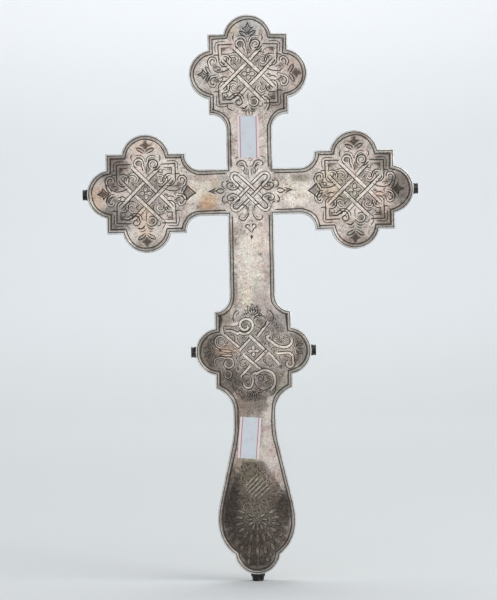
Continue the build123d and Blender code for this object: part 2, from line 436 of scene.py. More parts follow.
def ring_on_strap(centre, radius, across):
    """A flat ring that a strap is threaded through, with two hatches in it. across is the strap's angle."""
    ring = Motif()
    middle = np.array(centre)
    normal = turned([(0, 1)], across)[0]

    def under(points):
        return abs((points - middle) @ normal) < 1.2

    ring.strap(spiral(middle, radius, radius, across, across + 350), 1.4, (FINE, LINE), under)
    for offset in (-1.7, 1.7):
        ring.cut(turned([(-0.8, 0), (1.0, 0)], across) + middle + normal * offset, HATCH, 0.4)
    return ring


def leafy_cell(dark):
    """A curling leaf between two parallel straps, up and left of the middle. dark is the tone round it."""
    cell = Motif()
    cell.ground([(-4.6, 4.6), (-0.9, 8.4), (-5.6, 12.9), (-12.9, 5.6), (-8.4, 0.9)], angle=0, tone=dark)
    leaf = smooth((-11.6, 7.6), (-10.6, 10.2), (-8.0, 10.8), (-6.6, 9.2), (-7.6, 7.6))
    cell.strap(leaf, 1.3, (FINE, FINE))
    cell.curve((-9.6, 6.4), (-8.2, 6.2), (-7.0, 4.4))
    cell.curve((-5.6, 11.6), (-4.2, 9.6), (-5.2, 6.8))
    cell.curve((-6.8, 13.0), (-8.8, 13.2), (-10.4, 12.2), (-11.8, 12.4), width=FINE)
    cell.curve((-13.2, 6.8), (-13.4, 8.8), (-12.2, 10.4))
    cell.ground([(-13.6, 15.4), (-16.0, 16.0), (-15.4, 13.6)], angle=0, tone=DARK)
    cell.curve((-19.8, 13.0), (-20.0, 17.4), (-19.2, 19.4), (-17.4, 20.0), (-13.0, 19.8), width=FINE)
    return cell


def rolled_lobe():
    """An upper lobe where both straps roll into curls, each under a bent leaf."""
    lobe = Motif()
    lobe.strap(np.vstack([smooth((-0.9, 13.6), (-1.4, 15.8)), spiral((-4.8, 18.4), 3.1, 1.6, -30, 260)]), 1.5)
    lobe.strap(spiral((4.9, 18.2), 3.1, 1.2, 240, -110), 1.4, (BOLD, FINE))
    lobe.curve((4.6, 14.2), (7.2, 15.2), (9.2, 17.3), width=BOLD)
    leaf = Motif()
    leaf.strap(smooth((0.9, 18.8), (1.5, 21.4), (3.6, 23.0), (6.4, 22.6)), 1.3, (FINE, FINE))
    leaf.curve((8.4, 20.0), (9.1, 22.2), (8.2, 24.4))
    lobe.add_both(leaf)
    lobe.curve((-0.2, 11.6), (0.6, 14.4), (0.2, 17.4), width=FINE)
    lobe.ground(spiral((-5.0, 18.4), 1.6, 1.6, 0, 340), angle=20, tone=0.8)
    lobe.ground([(0.2, 11.6), (3.4, 14.6), (1.0, 18.2), (-0.8, 13.4)], angle=70, tone=0.7)
    return lobe


def hooked_lobe():
    """An upper lobe where one strap bends over a curl and the other ends in a long hook."""
    lobe = Motif()
    bend = smooth((13.2, 14.8), (11.6, 15.2), (9.8, 14.0), (7.2, 12.6), (4.6, 13.6), (3.5, 16.6))
    lobe.strap(bend, 1.6, (LINE, BOLD))
    lobe.cut(spiral((6.4, 17.4), 2.6, 0.8, 210, -200))
    lobe.curve((0.8, 19.6), (2.8, 21.6), (5.8, 20.8), width=BOLD)
    lobe.strap(spiral((-3.3, 16.9), 3.0, 1.8, 20, 320), 1.4, (FINE, LINE))
    lobe.strap(smooth((-9.0, 14.4), (-11.6, 16.2), (-12.2, 19.4), (-10.4, 22.8)), 1.7, (BOLD, FINE))
    lobe.curve((13.4, 18.4), (12.8, 21.2), (9.8, 22.8))
    lobe.curve((-0.6, 20.6), (-2.4, 22.0), (-4.8, 21.6))
    lobe.curve((-0.5, 22.2), (-2.0, 23.4), (-4.0, 23.4), width=FINE)
    lobe.curve((0.5, 21.8), (1.6, 23.2), (4.0, 23.2), width=FINE)
    lobe.curve((-0.2, 11.0), (0.4, 14.0), (0.2, 17.6), width=FINE)
    lobe.ground(spiral((-3.3, 16.9), 1.7, 1.7, 0, 340), angle=30, tone=0.8)
    return lobe


def ringed_lobe():
    """An upper lobe with a ring threaded on each strap end, and two open curls between the rings."""
    lobe = Motif()
    lobe.add(ring_on_strap((8.4, 14.2), 3.1, 45))
    lobe.add(ring_on_strap((-8.0, 14.6), 2.9, -45))
    lobe.strap(smooth((4.6, 23.4), (7.6, 24.4), (10.0, 22.8), (9.6, 20.6), (7.4, 20.2)), 1.5, (LINE, LINE))
    curl = smooth((-0.8, 19.2), (-1.6, 22.6), (-4.2, 24.2), (-6.8, 23.0), (-7.0, 20.8), (-5.2, 20.2))
    lobe.strap(curl, 1.5)
    lobe.curve((3.6, 11.0), (1.9, 14.0), (1.5, 18.8), (3.4, 21.8))
    lobe.curve((-2.4, 12.4), (-1.6, 15.0), (-2.6, 17.8))
    lobe.curve((3.6, 16.4), (4.8, 18.6), (4.4, 21.0), width=FINE)
    lobe.curve((11.8, 17.4), (12.0, 20.0), (11.4, 21.4))
    lobe.curve((-11.2, 17.6), (-10.4, 19.6), (-11.0, 21.6))
    lobe.ground([(2.6, 17.4), (4.6, 19.2), (6.6, 19.6), (6.0, 22.4), (3.6, 21.4)], angle=20, tone=0.8)
    lobe.ground([(-3.0, 17.4), (-2.4, 20.6), (-4.4, 22.0), (-5.4, 18.2)], angle=-20, tone=0.7)
    return lobe


def upper_rolls(whole):
    """The two rolled straps at the top of the cartouche, and the crown between them."""
    whole.strap(np.vstack([smooth((-18.8, 9.6), (-18.8, 16.0), (-12.0, 16.2), (-8.6, 16.8))]), 2.0)
    run = smooth((-17.0, 12.4), (-13.6, 12.2), (-9.6, 10.4))
    whole.strap(np.vstack([run, spiral((-4.9, 15.4), 5.4, 2.2, -130, 330)]), 1.9)
    whole.ground(spiral((-5.2, 14.8), 3.4, 3.4, 0, 340), angle=-30, tone=0.6)
    whole.cut(spiral((4.2, 17.4), 3.9, 3.7, -170, 20), FINE)
    whole.cut(spiral((4.2, 17.6), 4.0, 3.9, 175, 20))
    whole.cut(spiral((4.0, 17.4), 2.4, 0.9, 200, -200), FINE)
    whole.ground(spiral((4.0, 17.0), 2.4, 2.4, 0, 340), angle=30, tone=0.6)
    whole.add(palmette(7, 8.4, 140), at=(-0.2, 20.4))
    whole.pair((11.6, 17.4), (12.5, 19.6), (12.2, 22.2), (10.8, 24.0), (9.0, 24.9))
    whole.pair((9.0, 24.9), (8.8, 23.4), (10.0, 22.6), (10.6, 20.6), width=FINE)
    whole.curve((-9.6, 9.0), (-9.4, 6.6), (-7.8, 4.4), width=FINE)
    whole.curve((-14.8, 9.8), (-12.8, 9.8), (-11.2, 8.0), (-11.4, 5.6))


def right_lobe(whole):
    """The long bent strap, its leaf and its curl, in the cartouche's right lobe."""
    bend = smooth((10.6, 9.2), (8.6, 8.2), (9.2, 6.6), (11.2, 5.4), (13.6, 3.2), (17.4, 1.7), (21.4, 2.0),
                  (23.8, 4.4), (23.2, 7.4))
    whole.strap(bend, 2.0)
    whole.cut(spiral((14.4, 7.6), 2.9, 1.0, 230, -160), FINE)
    under_bend = [(11.6, 5.8), (17.4, 3.6), (21.8, 5.4), (20.8, 9.2), (15.6, 11.2), (11.2, 9.6)]
    whole.ground(under_bend, angle=40, tone=0.4)
    curl = np.vstack([smooth((14.6, -2.2), (18.0, -2.0), (21.8, -2.0), (24.2, -4.2), (24.2, -7.0)),
                      spiral((22.0, -8.6), 2.6, 1.4, 20, -260)])
    whole.strap(curl, 1.8)
    under_curl = [(13.0, -4.6), (19.4, -5.0), (20.6, -7.4), (18.6, -11.0), (15.4, -12.4)]
    whole.ground(under_curl, angle=-30, tone=0.5)
    whole.add(palmette(5, 7.0, 130), at=(25.4, 0.4), turn=-90)


def left_lobe(whole):
    """Two scrolls and a leaf in the cartouche's left lobe."""
    whole.strap(spiral((-19.8, 5.0), 4.2, 3.4, 75, 265), 1.4, (FINE, BOLD))
    whole.cut(spiral((-19.8, 5.0), 2.2, 0.9, 100, 420), FINE)
    for shift in (0, -2.4):
        whole.island(petal((-12.4, -0.6 + shift), (-21.6, 0.2 + 1.2 * shift), 0.9))
    scroll = np.vstack([smooth((-24.4, -8.2), (-23.8, -5.2), (-20.6, -4.2)),
                        smooth((-19.8, -4.2), (-18.4, -4.4)), spiral((-15.8, -8.0), 3.8, 2.0, 125, -230)])
    whole.strap(scroll, 1.3)
    whole.ground(spiral((-15.8, -8.0), 2.8, 2.8, 0, 340), angle=60, tone=0.7)
    whole.strap(spiral((-16.2, -15.0), 2.8, 1.6, 120, -200), 1.2)
    whole.add(palmette(5, 7.0, 120), at=(-25.4, -0.4), turn=90)


def lower_scrolls(whole):
    """The great scroll and the small one below the cartouche's straps, over a hanging palmette."""
    great = np.vstack([smooth((-0.8, -15.0), (0.6, -14.2)), spiral((6.7, -18.8), 6.3, 6.4, 140, -20),
                       smooth((12.0, -22.6), (10.0, -25.0))])
    whole.strap(great, 1.9)
    whole.cut(spiral((4.0, -17.6), 2.8, 0.8, 170, -300))
    whole.curve((0.4, -19.8), (1.6, -23.0), (4.6, -24.8), (8.2, -24.2), (10.2, -22.6))
    in_scroll = [(2.2, -16.4), (6.4, -14.6), (10.4, -16.6), (11.0, -20.8), (7.0, -23.4), (2.4, -20.8)]
    whole.ground(in_scroll, angle=-45, tone=0.7)
    small = np.vstack([smooth((-0.6, -17.0), (-0.5, -19.6)), spiral((-3.8, -20.2), 3.0, 2.6, 0, -200)])
    whole.strap(small, 1.6)
    whole.cut(spiral((-3.8, -19.6), 1.6, 0.8, 10, 300), FINE)
    whole.curve((-7.4, -18.2), (-7.0, -15.6), (-4.6, -14.6), (-2.6, -15.6), width=FINE)
    whole.add(palmette(7, 7.4, 150), at=(0, -24.4), turn=180)
    whole.curve((-13.4, -20.0), (-13.0, -24.0), (-10.6, -26.8), (-8.6, -27.2))
    whole.curve((13.6, -22.4), (12.6, -26.0), (9.8, -28.6))


def waver(points, amount=0.16):
    """Points moved with the slow wander of a hand, so that no two repeats are quite alike."""
    x, z = points[:, 0], points[:, 1]
    shift_x = amount * (np.sin(z / 4.1 + x / 17) + 0.6 * np.sin(z / 1.9 + 2))
    shift_z = amount * (np.sin(x / 3.7 + z / 19) + 0.6 * np.sin(x / 2.1 + 1))
    return np.column_stack([x + shift_x, z + shift_z, points[:, 2:]])


def hanging_leaf():
    """A thin open leaf that hangs under a hooked lobe, its foot at the origin."""
    leaf = Motif()
    leaf.cut([(0, 0.4), (0, 5.0)], LINE)
    leaf.pair((0.7, 2.2), (2.1, 3.8), (1.1, 5.4), width=FINE)
    leaf.pair((1.0, 1.0), (3.2, 2.2), (4.6, 1.6), width=FINE)
    return leaf


def terminal(finials):
    """The knot in a cross end, with (motif, foot distance) finials above, left of, below and right of it."""
    whole = square_knot()
    whole.add(centre_flower())
    lobes = (rolled_lobe(), ringed_lobe(), hooked_lobe(), ringed_lobe())
    for i, (lobe, (finial, foot), dark) in enumerate(zip(lobes, finials, (0.35, 0.2, 0.25, 0.45))):
        turn = QUARTER_TURNS[i]
        whole.add(lobe, turn=turn, flip=i == 3)
        whole.add(leafy_cell(dark), turn=turn)
        whole.add(finial, at=turned([(0, foot)], turn)[0], turn=turn)
    field = [(-4, 22), (4, 22), (12, 18), (18, 12), (22, 4), (22, -4), (18, -12), (12, -18),
             (4, -22), (-4, -22), (-12, -18), (-18, -12), (-22, -4), (-22, 4), (-18, 12), (-12, 18)]
    thicket(whole, field, 3.1, 3)
    return whole


def hairpin_loops():
    """Two long hairpin loops woven through each other."""
    loops, half = Motif(), Motif()
    gap, straight, width = 2.7, 12.2, 1.9

    def under(points):
        s, t = points.sum(1) / ROOT2, (points[:, 1] - points[:, 0]) / ROOT2
        return (s * t < 0) & (abs(abs(t) - gap) < width / 2) & (abs(s) < 2 * gap)

    # The loop is drawn upright, so each end is half an oval, and then turned onto the diagonal.
    angles = np.radians(np.linspace(0, 180, 9))
    end = np.stack([gap * np.cos(angles), straight + 1.2 * gap * np.sin(angles)], 1)
    half.strap(turned(np.vstack([end, -end, end[:1]]), 45), width, hidden=under)
    for side in (1, -1):
        for x, near, far in ((0.5, 8.6, straight + 1), (-0.6, 6.4, 11.4)):
            half.cut(turned([(x, near * side), (x, far * side)], 45), HATCH)
    for turn in (0, 90):
        loops.add(half, turn=turn)
    return loops


def arm_scrolls():
    """The scrolls on both sides of an arm's axis to the right of the crossing, and the dart between them."""
    whole, side, flipped = Motif(), Motif(), Motif()
    side.curve((8.6, 6.4), (6.9, 5.0), (7.2, 3.0), (9.4, 1.4), (12.0, 1.2), (14.2, 2.6), (14.4, 4.6),
               (12.8, 5.7), (10.9, 5.2), (10.6, 4.0), (11.8, 3.5), (12.6, 4.2))
    side.curve((8.2, 4.4), (9.4, 3.0), (11.6, 2.4), width=FINE)
    side.curve((13.0, 7.6), (14.5, 6.2), (15.2, 7.0))
    side.curve((16.0, 7.0), (17.4, 5.6), (17.3, 3.4), (15.6, 2.0))
    side.ground(spiral((11.8, 3.6), 1.5, 1.5, 0, 340), angle=0)
    whole.add(side)
    flipped.add(side, flip=True)
    whole.add(flipped, turn=180)
    whole.island(petal((16.2, 0.6), (21.4, 0.6), 1.4), LINE)
    for angle in (90, 0):
        whole.ground([(21.4, 0.6), (22.6, 1.7), (25.2, 0.6), (22.6, -0.5)], angle, DARK)
    whole.cut([(21.0, 2.4), (25.4, 0.6), (21.0, -1.2)])
    return whole


def crossing_knot():
    """The woven hairpins on the crossing, with scrolls and leaves between their ends."""
    whole = hairpin_loops()
    whole.add_both(arm_scrolls())
    for curl in (((0.6, 15.2), (2.0, 16.0), (2.6, 18.0), (4.6, 19.4), (6.8, 19.0), (8.1, 17.2), (7.2, 15.9)),
                 ((2.2, 10.4), (3.8, 12.6), (3.0, 14.4), (4.6, 16.4), (6.0, 16.2)),
                 ((1.0, -12.6), (1.9, -15.2), (3.8, -17.4), (6.2, -17.4), (7.4, -15.8), (6.4, -14.2)),
                 ((2.4, -10.8), (2.6, -8.8), (4.4, -7.8), (6.4, -8.2)),
                 ((0.8, -21.9), (1.0, -20.4), (2.7, -20.2), (3.2, -21.7), (1.8, -23.0), (0, -25.4))):
        whole.pair(*curl)
    for stem in (((3.0, 15.0), (4.4, 17.6), (6.2, 17.6)), ((4.2, 12.0), (5.4, 14.6)),
                 ((2.6, -14.0), (3.8, -15.8), (5.2, -15.8)), ((0.8, 10.2), (0.9, 13.8)),
                 ((1.2, -9.4), (1.6, -11.6)), ((5.6, 21.9), (7.6, 21.7), (9.6, 20.4)),
                 ((0, 18.2), (1.5, 20.2)), ((0, -17.2), (1.6, -18.8)), ((0, -28.8), (1.4, -26.8))):
        whole.pair(*stem, width=FINE)
    fields = ([(0.6, 9.0), (3.4, 11.6), (2.4, 15.0), (0.8, 14.0)],
              [(0.6, -7.4), (3.4, -9.6), (2.0, -13.4), (0.6, -11.8)],
              [(6.8, 0.8), (9.6, 2.8), (8.6, 6.2), (5.8, 3.2)])
    for side in (-1, 1):
        for field in fields:
            whole.ground(np.array(field) * (side, 1), angle=90)
    whole.cut([(0, -26.4), (0, -29.6)], BOLD, 1.0)
    whole.cut([(-1.0, 20.4), (1.0, 20.4)], FINE)
    return whole


def cartouche_ornament():
    """Woven straps round a diamond. Two roll up under a palmette, and others end in a great scroll below."""
    whole = Motif()
    for path in ([(-9.0, 0.2), (-1.4, 7.2)], [(-2.6, 9.2), (8.6, -1.6)], [(-6.6, -2.4), (4.4, -12.6)],
                 [(0.6, -7.6), (9.0, 0.8)], [(2.4, 7.8), (9.4, 17.6)], [(9.4, -1.6), (15.6, -9.0)],
                 [(-18.2, 10.4), (-8.6, 1.8)], [(-8.4, -16.2), (-2.4, -9.6)]):
        whole.strap(path, 2.0)
    whole.ground([(-6.2, -0.6), (0, 5.2), (6.0, -0.8), (0, -6.4)], angle=0, tone=0.5)
    for turn in QUARTER_TURNS:
        whole.island(turned(petal((0, 0.6), (0, 3.8), 1.3), turn) + (-0.2, -0.6))
    upper_rolls(whole)
    right_lobe(whole)
    left_lobe(whole)
    lower_scrolls(whole)
    field = [(-20, 14), (-13, 14), (-13, 20), (-4, 23), (4, 23), (14, 20), (20, 12), (26, 9), (31, 0),
             (26, -9), (19, -14), (14, -24), (7, -31), (-7, -31), (-14, -24), (-19, -14), (-28, -9), (-31, 0),
             (-27, 9)]
    thicket(whole, field, 3.0, 11)
    whole.ground(field, angle=45, tone=0.35)
    return whole


def grip_ornament():
    """A basket-woven lozenge over a spray of leaves, in a thicket that fills the grip."""
    whole = Motif()
    weave_centre, thick = (1.0, 13.0), 1.0
    for step in (-5.4, -3.2, -1.0, 1.2, 3.4, 5.6):
        half = 6.6 - 0.3 * abs(step)
        band = [(-half, step), (half, step), (half, step + thick), (-half, step + thick)]
        band = turned(band, 45) + weave_centre
        whole.island(band, 0)
        whole.cut(band[:2], FINE, 0.5)
    tiers = ((9, 2.2, 5.2, 260, 1.0), (13, 7.8, 7.4, 240, 1.3), (11, 15.8, 6.6, 150, 1.4),
             (7, 23.4, 5.0, 80, 1.2))
    for count, foot, length, spread, bulge in tiers:
        tip = foot + length
        leaf = Motif()
        leaf.island(petal((0, foot), (0.8, tip), bulge), 0)
        leaf.cut(smooth((0, foot), (bulge, foot + length * 0.45), (0.8, tip)), LINE, 0.8)
        leaf.cut(smooth((0, foot), (-bulge, foot + length * 0.5), (0.8, tip)), FINE, 0.8)
        for i in range(count):
            angle = spread * (i / (count - 1) - 0.5)
            whole.add(leaf, at=(0, -7), turn=180 + angle, flip=2 * i < count)
    for x, z, radius, start, end in ((-8.4, -20.6, 4.0, 170, -200), (13.8, -16.0, 3.6, 200, -150),
                                     (-16.6, -4.0, 3.3, 230, -140), (5.6, -31.0, 3.2, 150, -200),
                                     (14.0, 6.0, 3.3, 130, -170), (-11.5, 8.0, 3.2, 60, 360)):
        whole.cut(spiral((x, z), radius, 0.9, start, end))
    field = [(-8, 29), (5, 29), (12, 18), (19, 6), (20.5, -8), (17, -19), (11, -27), (8, -35), (-8, -35),
             (-11, -27), (-17, -19), (-20.5, -8), (-19, 6), (-13, 18)]
    thicket(whole, field, 2.6, 5)
    whole.ground(field, angle=35, tone=0.7)
    return whole


def kept_inside(motif, outline):
    """Drops the strokes that reach past an outline."""
    motif.strokes = [stroke for stroke in motif.strokes if inside(stroke[:, :2], outline).all()]


def thicket(motif, outline, spacing, seed):
    """Fills what is still plain inside an outline with small curls and leaves, turned every way."""
    chance = random.Random(seed)
    outline = np.asarray(outline, float)
    drawn_for = 3.2  # the spacing that suits the curls as drawn here
    curls = (spiral((0, 0), 1.3, 0.5, 0, 300), spiral((0, 0), 1.2, 1.4, 0, 190),
             smooth((-1.5, -0.7), (-0.4, 0.6), (0.8, 0.3), (1.5, -0.8)), petal((-1.4, 0), (1.5, 0), 0.6))
    low, high = outline.min(0), outline.max(0)
    for row, z in enumerate(np.arange(low[1], high[1], 0.87 * spacing)):
        for x in np.arange(low[0] + spacing / 2 * (row % 2), high[0], spacing):
            shift = (chance.uniform(-0.3, 0.3) * spacing, chance.uniform(-0.3, 0.3) * spacing)
            size = chance.uniform(0.8, 1.2) * spacing / drawn_for
            curl = turned(chance.choice(curls), chance.uniform(0, 360)) * size + (x, z) + shift
            blocked = not inside(curl, outline).all()
            for shape in touching(motif.straps + motif.islands, curl):
                blocked |= inside(curl, shape).any()
            if not blocked and (bite(curl, touching(motif.strokes, curl), 0.6) < -0.3).mean() > 0.8:
                motif.cut(curl, FINE, 0.5)


def border(motif, loop, inset, width, wanted):
    """An engraved line inside the sheet's outline, along the stretches where wanted is true."""
    line = loop + mitres(loop) * inset
    line = np.vstack([line, line[:1]])
    for run in shown(line, lambda points: ~wanted(points)):
        motif.cut(run, width, 0.8)


def edge_line(points):
    """Where the border line runs: everywhere but the corners of the crossing."""
    x, z = (points - CROSSING).T
    return (abs(x) > CROSSING_REACH) | (abs(z) > CROSSING_REACH)


def fitted(whole, node, side, over_edge=None):
    """An ornament trimmed to its sheet, with a motif that may reach further, a border line and hatching."""
    loop = face_outline(node, side)
    limit = loop + mitres(loop) * ENGRAVED_INSET
    kept_inside(whole, limit)
    if over_edge:
        whole.add(over_edge, at=CROSSING)
    border(whole, loop, BORDER_INSET, BORDER_WIDTH, edge_line)
    whole.hatch(limit)
    return whole


def back_ornament():
    """Everything engraved on the back."""
    whole = Motif()
    small, spear, leaf = (fleur(), 25.2), (fleur(1.05), 21.4), spear_leaf()
    upper_finials = [(fleur(0.95, HATCHED), 23.6), (fleur(0.9, HATCHED), 23.4), (hanging_leaf(), 20.8), small]
    whole.add(terminal(upper_finials), at=UPPER)
    whole.add(terminal([small, spear, small, (leaf, 22.6)]), at=LEFT)
    whole.add(terminal([small, (leaf, 20.6), small, spear]), at=RIGHT)
    whole.add(cartouche_ornament(), at=LOWER + (0, -0.4))
    whole.add(grip_ornament(), at=GRIP)
    return fitted(whole, "back_plate", -1, crossing_knot())


def front_ornament():
    """Palmettes in the front's free lobes and square corners, and the same grip as the back."""
    whole, corner = Motif(), Motif()
    corner.add(palmette(5, 7.5, 110), at=(0, 20.5))
    corner.add(palmette(3, 6.5, 70), at=turned([(0, 18.5)], 45)[0], turn=45)
    for place in (UPPER, LEFT, RIGHT, LOWER):
        for turn in QUARTER_TURNS:
            toward_crossing = turned([(0, 1)], turn)[0] @ (CROSSING - place) > 1
            toward_foot = place is LOWER and turn == 180
            if not toward_crossing and not toward_foot:
                whole.add(corner, at=place, turn=turn)
    whole.add(grip_ornament(), at=GRIP)
    return fitted(whole, "front_plate", 1)


def cross_ornament():
    """One line inside the edge of the applied cross."""
    whole = Motif()
    border(whole, face_outline("applied_cross", 1), 1.5, FINE, lambda points: np.ones(len(points), bool))
    return whole


# Meshes.

def new_piece(name, points, faces, material, sharp, masks=None):
    """A mesh piece in place of the CAD node of its name. Points are in millimetres.

    Edges sharper than the sharp angle, in degrees, stay crisp. Masks are values for each point.
    """
    mesh = bpy.data.meshes.new(name)
    mesh.from_pydata((np.asarray(points) * MM).tolist(), [], faces)
    solid = bmesh.new()
    solid.from_mesh(mesh)
    bmesh.ops.recalc_face_normals(solid, faces=solid.faces)
    solid.to_mesh(mesh)
    solid.free()
    for mask, values in (masks or {}).items():
        mesh.attributes.new(mask, "FLOAT", "POINT").data.foreach_set("value", np.asarray(values, np.float32))
    mesh.shade_smooth()
    mesh.set_sharp_from_angle(angle=math.radians(sharp))
    mesh.materials.append(material)
    piece = bpy.data.objects.new(name, mesh)
    bpy.context.scene.collection.objects.link(piece)
    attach(piece, "root")
    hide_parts(name)


def undulation(x, z):
    """The slight waves of hand-hammered sheet, between 0 and 0.1 mm deep."""
    return 0.05 + 0.02 * (np.sin(x / 7.3 + z / 15) + np.sin(z / 9.1 - x / 23) + 0.5 * np.sin((x + z) / 4.3))


def triangulated(points, edges, loop):
    """Points and triangles that fill a loop and have every edge given."""
    made = delaunay_2d_cdt([Vector(point) for point in points], edges, [], 0, 1e-4, False)
    verts, faces = np.array([tuple(vert) for vert in made[0]]), np.array([tuple(face) for face in made[2]])
    within = inside(verts[faces].mean(1), loop)
    return verts, [tuple(face) for face in faces[within].tolist()]


def ring_edges(start, count):
    """The edges of a closed ring of points, numbered from start."""
    return [(start + i, start + (i + 1) % count) for i in range(count)]


def cut_face(loop, strokes, bevel):
    """A sheet's face as points and triangles, with edges along the middle and both sides of every stroke."""
    steps = mitres(loop)
    points, edges, count = [loop], ring_edges(0, len(loop)), len(loop)
    for stroke in strokes:
        for share in (0, 1, -1):
            points.append(beside(stroke[:, :2], share * stroke[:, 2]) if share else stroke[:, :2])
            edges += [(count + i, count + i + 1) for i in range(len(stroke) - 1)]
            count += len(stroke)
    if bevel:
        points.append(loop + steps * bevel)
        edges += ring_edges(count, len(loop))
    low, high = loop.min(0), loop.max(0)
    grid = np.stack(np.meshgrid(np.arange(low[0], high[0], GRID), np.arange(low[1], high[1], GRID)), -1)
    grid = grid.reshape(-1, 2)
    grid = grid[inside(grid, loop + steps * 0.4 * GRID)]
    points.append(grid[bite(grid, strokes) < -0.2 * GRID])
    return triangulated(np.vstack(points), edges, loop)


def face_masks(verts, motif):
    """Each point's ground tone, and whether it lies on a strap, which the silver lightens as a painted
    highlight.
    """
    tone, island, strap = np.zeros(len(verts)), np.zeros(len(verts), bool), np.zeros(len(verts), bool)
    for outline in motif.islands:
        island |= inside(verts, waver(outline))
    for outline in motif.straps:
        strap |= inside(verts, waver(outline))
    for outline, _, value in motif.grounds:
        tone = np.maximum(tone, value * inside(verts, waver(outline)))
    tone[island | strap] = 0
    return tone, strap


def engraved_sheet(node, side, motif, material, bevel=0.0):
    """A flat CAD sheet rebuilt with its outer face engraved. side is -1 for the back and 1 for the front."""
    loop = face_outline(node, side)
    strokes = [waver(stroke) for stroke in motif.strokes]
    verts, faces = cut_face(loop, strokes, bevel)
    tone, strap = face_masks(verts, motif)
    depth = np.maximum(bite(verts, strokes), 0)
    rim = np.vstack([loop, loop[:1]])
    from_edge = -bite(verts, [np.column_stack([rim, np.zeros(len(rim))])], EDGE_CALM)
    calm = np.clip(from_edge / EDGE_CALM, 0, 1)
    sunk = depth * WALL_SLOPE + GROUND_DEPTH * tone + undulation(*verts.T) * calm
    sunk += np.clip(bevel - from_edge, 0, None)
    outer, inner = levels_of(node) if side < 0 else levels_of(node)[::-1]
    top = np.stack([verts[:, 0], outer - side * sunk, verts[:, 1]], 1)
    ring = rim_of(faces)
    bottom = np.stack([verts[ring, 0], np.full(len(ring), inner), verts[ring, 1]], 1)
    under = triangulated(verts[ring], ring_edges(0, len(ring)), loop)[1]
    base = len(verts)
    solid = faces + [tuple(base + i for i in reversed(face)) for face in under]
    solid += [(ring[j], ring[i], base + i, base + j) for i, j in ring_edges(0, len(ring))]
    extra = np.zeros(len(ring))
    masks = {"groove": np.clip(depth / FULL_DIRT_DEPTH, 0, 1), "ground": tone, "strap": strap}
    masks = {name: np.concatenate([values, extra]) for name, values in masks.items()}
    new_piece(node, np.vstack([top, bottom]), solid, material, 10, masks)


# Swept strips round the edge.

def quarters(loop):
    """The loop's four lengths between the inner corners beside the crossing, as runs of point numbers."""
    corners = []
    for quadrant in ((1, 1), (-1, 1), (-1, -1), (1, -1)):
        here = loop - CROSSING
        outside = (here * quadrant < 0.5).any(1)
        corners.append(int((np.hypot(*here.T) + 1000 * outside).argmin()))
    runs = {}
    for name, start, end in zip(("upper", "left", "lower", "right"), corners, corners[1:] + corners[:1]):
        runs[name] = np.arange(start, end + 1 + (len(loop) if end < start else 0)) % len(loop)
    return runs


def swept_strip(name, loop, run, profile, material):
    """A strip along part of the loop. The profile's points are (inset, y, dirt), round the section."""
    steps = mitres(loop)[run]
    inset, y, dirt = np.array(profile, float).T
    points, sides = [], len(profile)
    for place, step in zip(loop[run], steps):
        section = place + step * inset[:, None]
        points += list(np.stack([section[:, 0], y, section[:, 1]], 1))
    faces = [tuple(range(sides)), tuple(range(len(points) - sides, len(points)))]
    for i in range(len(run) - 1):
        for j in range(sides):
            k = (j + 1) % sides
            faces.append((i * sides + j, i * sides + k, (i + 1) * sides + k, (i + 1) * sides + j))
    new_piece(name, points, faces, material, 35, {"groove": np.tile(dirt, len(run))})


def band_profile():
    """The rim band's section: rounded edges, and two fine lines turned into its outer face."""
    low, high = levels_of("upper_rim_band")
    out = -BAND_THICKNESS
    section = [(0, low + 0.12, 0.25), (0, high - 0.12, 0.25), (-0.14, high, 0), (-0.5, high, 0),
               (out + 0.08, high - 0.1, 0), (out, high - 0.32, 0)]
    for level in (high - 1.4, low + 1.7):
        section += [(out, level + 0.22, 0), (out + 0.1, level, 1), (out, level - 0.22, 0)]
    return section + [(out, low + 0.32, 0), (out + 0.08, low + 0.1, 0), (-0.5, low, 0), (-0.14, low, 0)]


def bead_profile(node, side):
    """A round wire with a dirty seam between it and the band, seen in section."""
    low, high = levels_of(node)
    foot, crown = (high, low) if side < 0 else (low, high)
    rise = crown - foot
    seam, wire = 0.42, 0.76
    section = [(0, 0, 0.9), (0.04, 0.1, 0.9), (seam - 0.1, 0.1, 0.9)]
    for angle in range(10, 180, 20):
        turn = math.radians(angle)
        section.append((seam + wire / 2 * (1 - math.cos(turn)), math.sin(turn), 0))
    section += [(BEAD_WIDTH, 0, 0.3)]
    return [(inset, foot + rise * height, dirt) for inset, height, dirt in section]


# Round pieces.

def polar_solid(rings, spokes, place):
    """A solid's points and faces, ring by ring from pole to pole. place(ring, angles) gives its points."""
    angles = np.linspace(0, 2 * math.pi, spokes, endpoint=False)
    points = [place(rings[0], np.zeros(1))[0]]
    for ring in rings[1:-1]:
        points += list(place(ring, angles))
    points.append(place(rings[-1], np.zeros(1))[0])
    last, faces = len(points) - 1, []
    for j in range(spokes):
        k = (j + 1) % spokes
        faces.append((0, 1 + j, 1 + k))
        for i in range(len(rings) - 3):
            a, b = 1 + i * spokes, 1 + (i + 1) * spokes
            faces.append((a + j, b + j, b + k, a + k))
        faces.append((last - spokes + k, last - spokes + j, last))
    return points, faces


def rosette(name, radius, height_at, material):
    """A round relief on the front, in place of the CAD node of that name."""
    x, z = centre_of(name)
    low, high = levels_of(name)
    radii = np.linspace(0, radius, round(radius * RINGS_PER_MM))
    rings = [(r, True) for r in radii] + [(radius, False), (0.0, False)]

    def place(ring, angles):
        r, raised = ring
        r_here = np.full(len(angles), r)
        height = height_at(r_here, angles) if raised else np.zeros(len(angles))
        return np.stack([x + r * np.cos(angles), low + (high - low) * height, z + r * np.sin(angles)], 1)

    points, faces = polar_solid(rings, 160, place)
    rise = (np.array(points)[:, 1] - low) / (high - low)
    dirt = 0.8 * np.clip(1.1 - rise * 3.4, 0, 1)
    new_piece(name, points, faces, material, 40, {"groove": dirt})


